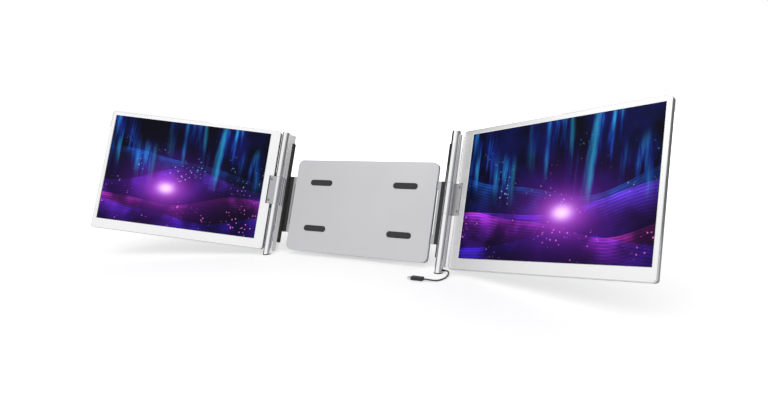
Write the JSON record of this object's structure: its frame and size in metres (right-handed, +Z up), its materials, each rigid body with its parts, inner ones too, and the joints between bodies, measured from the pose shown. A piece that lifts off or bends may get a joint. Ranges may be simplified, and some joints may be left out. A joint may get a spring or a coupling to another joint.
{
  "type": "laptop screen extender",
  "caption": "Folding laptop screen extender: a leaning back frame with spring-loaded arms, polished hinge columns, two swing-out displays, a kickstand and a short captive lead.",
  "frame": {"origin": "on the desk, under the middle of the whole object at rest", "axes": "+X to the viewer's right along the row of displays, -Y towards the viewer, +Z up from the desk"},
  "size_m": [1.0916, 0.2748, 0.2958],
  "materials": {
    "satin_bezel": "satin silver anodised",
    "grey_shell": "satin dark grey anodised",
    "polished_column": "polished",
    "polished_cap": "polished turned end",
    "satin_leaf": "satin",
    "frame_silver": "satin anodised",
    "frame_grey": "satin anodised",
    "stand_silver": "satin anodised",
    "arm_steel": "brushed",
    "black_rubber": "matte",
    "nylon": "moulded",
    "circuit_board": "solder mask",
    "speaker_black": "matte",
    "pin_steel": "ground",
    "spring_steel": "drawn wire",
    "screw_steel": "blackened",
    "picture_glass": "lit picture under glass",
    "button_grey": "satin",
    "socket_steel": "bright",
    "lead_jacket": "matte",
    "plug_black": "satin"
  },
  "bodies": {
    "frame": {"frame_front_plate": "frame_silver", "frame_rear_cover": "frame_grey", "lid_pads": "black_rubber", "arm_guide_rails": "nylon", "hub_board": "circuit_board", "spring_post": "arm_steel", "frame_screws": "screw_steel", "frame_standoffs": "arm_steel", "kickstand_brackets": "arm_steel", "kickstand_pin": "pin_steel", "arm_spring_left": "spring_steel", "arm_spring_right": "spring_steel"},
    "stand": {"kickstand": "stand_silver", "kickstand_foot": "black_rubber"},
    "left_arm": {"arm_left": "arm_steel", "column_left": "polished_column", "column_top_cap_left": "polished_cap", "column_foot_left": "polished_cap", "column_sole_left": "black_rubber", "grip_liner_left": "black_rubber", "hinge_pin_left": "pin_steel", "arm_screws_left": "screw_steel"},
    "right_arm": {"arm_right": "arm_steel", "column_right": "polished_column", "column_top_cap_right": "polished_cap", "column_foot_right": "polished_cap", "column_sole_right": "black_rubber", "grip_liner_right": "black_rubber", "hinge_pin_right": "pin_steel", "arm_screws_right": "screw_steel", "lead_gland": "black_rubber", "lead": "lead_jacket", "plug_body": "plug_black", "plug_shell": "socket_steel"},
    "left_panel": {"back_cover_left": "grey_shell", "bezel_left": "satin_bezel", "display_left": "picture_glass", "driver_board_left": "circuit_board", "speakers_left": "speaker_black", "power_socket_left": "socket_steel", "hinge_leaf_left": "satin_leaf", "leaf_screws_left": "screw_steel"},
    "right_panel": {"back_cover_right": "grey_shell", "bezel_right": "satin_bezel", "display_right": "picture_glass", "driver_board_right": "circuit_board", "speakers_right": "speaker_black", "power_socket_right": "socket_steel", "hinge_leaf_right": "satin_leaf", "leaf_screws_right": "screw_steel"},
    "left_power_button": {"power_button_left": "button_grey"},
    "left_plus_button": {"plus_button_left": "button_grey"},
    "left_minus_button": {"minus_button_left": "button_grey"},
    "right_power_button": {"power_button_right": "button_grey"},
    "right_plus_button": {"plus_button_right": "button_grey"},
    "right_minus_button": {"minus_button_right": "button_grey"}
  },
  "joints": [
    {"name": "kickstand_hinge", "type": "hinge", "parent": "frame", "child": "stand", "pos_m": [-0.00535, 0.08527, 0.15692], "axis": [1, 0, 0], "range_deg": [-40, 0]},
    {"name": "left_arm_slide", "type": "slide", "parent": "frame", "child": "left_arm", "axis": [-1, 0, 0], "range_m": [0, 0.02], "stiffness_N_per_m": 120, "springref_m": -0.05, "deforming": ["arm_spring_left"]},
    {"name": "right_arm_slide", "type": "slide", "parent": "frame", "child": "right_arm", "axis": [1, 0, 0], "range_m": [0, 0.02], "stiffness_N_per_m": 120, "springref_m": -0.05, "deforming": ["arm_spring_right"]},
    {"name": "left_panel_hinge", "type": "hinge", "parent": "left_arm", "child": "left_panel", "pos_m": [-0.19835, -0.00319, 0.00739], "axis": [0, 0.3827, 0.9239], "range_deg": [-22, 158]},
    {"name": "right_panel_hinge", "type": "hinge", "parent": "right_arm", "child": "right_panel", "pos_m": [0.18765, -0.00319, 0.00739], "axis": [0, -0.3827, -0.9239], "range_deg": [-22, 158]},
    {"name": "left_power_press", "type": "slide", "parent": "left_panel", "child": "left_power_button", "axis": [0.3746, -0.8566, 0.3548], "range_m": [0, 0.0005], "stiffness_N_per_m": 600, "springref_m": -0.0006},
    {"name": "left_plus_press", "type": "slide", "parent": "left_panel", "child": "left_plus_button", "axis": [0.3746, -0.8566, 0.3548], "range_m": [0, 0.0005], "stiffness_N_per_m": 600, "springref_m": -0.0006},
    {"name": "left_minus_press", "type": "slide", "parent": "left_panel", "child": "left_minus_button", "axis": [0.3746, -0.8566, 0.3548], "range_m": [0, 0.0005], "stiffness_N_per_m": 600, "springref_m": -0.0006},
    {"name": "right_power_press", "type": "slide", "parent": "right_panel", "child": "right_power_button", "axis": [-0.3746, -0.8566, 0.3548], "range_m": [0, 0.0005], "stiffness_N_per_m": 600, "springref_m": -0.0006},
    {"name": "right_plus_press", "type": "slide", "parent": "right_panel", "child": "right_plus_button", "axis": [-0.3746, -0.8566, 0.3548], "range_m": [0, 0.0005], "stiffness_N_per_m": 600, "springref_m": -0.0006},
    {"name": "right_minus_press", "type": "slide", "parent": "right_panel", "child": "right_minus_button", "axis": [-0.3746, -0.8566, 0.3548], "range_m": [0, 0.0005], "stiffness_N_per_m": 600, "springref_m": -0.0006}
  ]
}
